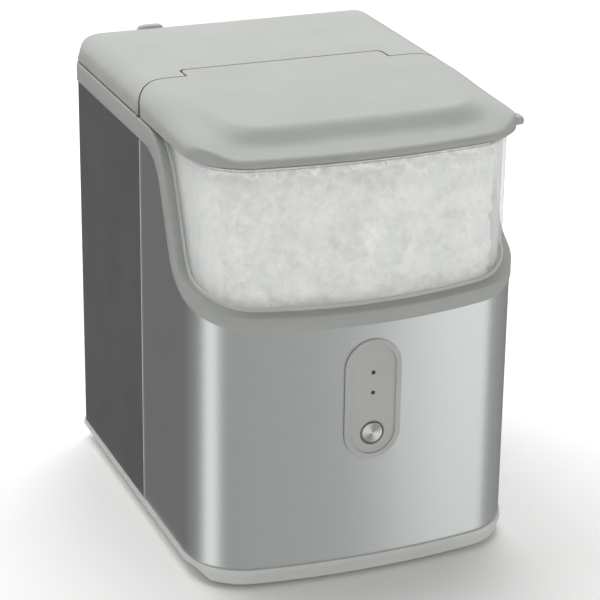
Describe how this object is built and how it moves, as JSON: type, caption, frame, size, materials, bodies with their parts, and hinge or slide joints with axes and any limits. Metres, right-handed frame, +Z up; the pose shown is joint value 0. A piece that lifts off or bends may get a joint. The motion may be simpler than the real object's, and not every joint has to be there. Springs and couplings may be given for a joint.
{
  "type": "ice maker",
  "caption": "Countertop nugget ice maker: steel-wrapped casing with a wrap-round clear window over the ice basket, a hinged lid and a pill-shaped control panel.",
  "frame": {"origin": "on the floor, below the middle of the casing (half-way between its flat sides, and between the foremost point of the bowed front and the back panel)", "axes": "+Z up, +X to the machine's left as it faces you (the viewer's right), the front faces -Y"},
  "size_m": [0.2761, 0.3362, 0.368],
  "materials": {
    "light_plastic": "satin moulded ABS, light grey",
    "foot_rubber": "moulded rubber",
    "brushed_steel": "brushed stainless sheet",
    "dark_side": "dark grey semi-matt powder coat",
    "black_plastic": "moulded, fine texture",
    "zinc_screw": "bright zinc plate",
    "clear_window": "clear moulded acrylic, polished",
    "black_rubber": "moulded rubber",
    "white_plastic": "white food-grade ABS",
    "grey_rubber": "grey silicone",
    "bright_steel": "turned stainless steel",
    "silver_plastic": "fine matt moulded, light grey",
    "lamp_lens": "translucent diffuser",
    "brushed_steel_cap": "radially turned cap",
    "circuit_board": "green solder mask",
    "clear_basket": "clear moulded plastic",
    "clear_hose": "translucent silicone",
    "copper": "drawn copper tube",
    "foam": "closed-cell foam",
    "zinc_housing": "zinc-plated steel",
    "black_enamel": "black baked enamel",
    "fin_aluminium": "mill-finish fins"
  },
  "bodies": {
    "casing": {"base_pan": "light_plastic", "rubber_feet": "foot_rubber", "front_wrap": "brushed_steel", "left_side_panel": "dark_side", "right_side_panel": "dark_side", "back_panel": "dark_side", "vent_grille": "black_plastic", "case_screws": "zinc_screw", "trim_frame": "light_plastic", "window": "clear_window", "window_seal": "black_rubber", "top_cover": "light_plastic", "hinge_pins": "bright_steel", "hose_clip": "light_plastic", "control_bezel": "silver_plastic", "control_plate": "silver_plastic", "indicator_lenses": "lamp_lens", "button_ring": "black_plastic", "tact_switch": "black_plastic", "control_board": "circuit_board", "inner_liner": "white_plastic", "ice_basket": "clear_basket", "water_reservoir": "white_plastic", "float_stem": "white_plastic", "inlet_filter": "white_plastic", "water_pump": "black_plastic", "pump_hose": "clear_hose", "drain_pipe": "grey_rubber", "drain_outlet": "black_plastic", "freezing_cylinder": "bright_steel", "evaporator_coil": "copper", "insulation": "foam", "extruder_head": "bright_steel", "ice_chute": "white_plastic", "gear_motor": "zinc_housing", "tower_bracket": "zinc_housing", "compressor_mounts": "black_rubber", "compressor": "black_enamel", "condenser_fins": "fin_aluminium", "condenser_tubes": "copper", "fan_shroud": "black_plastic", "fan_motor": "black_plastic", "filter_drier": "copper", "capillary_tube": "copper", "suction_line": "copper", "discharge_line": "copper", "electronics_tray": "zinc_housing", "main_board": "circuit_board", "power_supply": "circuit_board", "cord_gland": "black_rubber", "ice_sensors": "black_plastic"},
    "lid_body": {"lid": "light_plastic", "lid_liner": "white_plastic", "lid_gasket": "grey_rubber"},
    "button_body": {"push_button": "brushed_steel_cap"},
    "fan_body": {"fan_blades": "black_plastic"},
    "auger_body": {"auger": "bright_steel"},
    "float_body": {"water_float": "white_plastic"},
    "drain_cap_body": {"drain_cap": "black_rubber"}
  },
  "joints": [
    {"name": "lid_hinge", "type": "hinge", "parent": "casing", "child": "lid_body", "pos_m": [0, 0.0265, 0.36], "axis": [-1, 0, 0], "range_deg": [0, 100]},
    {"name": "button_press", "type": "slide", "parent": "casing", "child": "button_body", "axis": [0, 1, 0], "range_m": [0, 0.0015], "stiffness_N_per_m": 600},
    {"name": "fan_spin", "type": "hinge", "parent": "casing", "child": "fan_body", "pos_m": [-0.064, 0.122, 0.078], "axis": [0, 1, 0], "continuous": true},
    {"name": "auger_spin", "type": "hinge", "parent": "casing", "child": "auger_body", "pos_m": [-0.035, 0.052, 0.19], "axis": [0, 0, 1], "continuous": true},
    {"name": "float_rise", "type": "slide", "parent": "casing", "child": "float_body", "axis": [0, 0, 1], "range_m": [0, 0.018]},
    {"name": "drain_cap_pull", "type": "slide", "parent": "casing", "child": "drain_cap_body", "axis": [0, 1, 0], "range_m": [0, 0.008]}
  ]
}
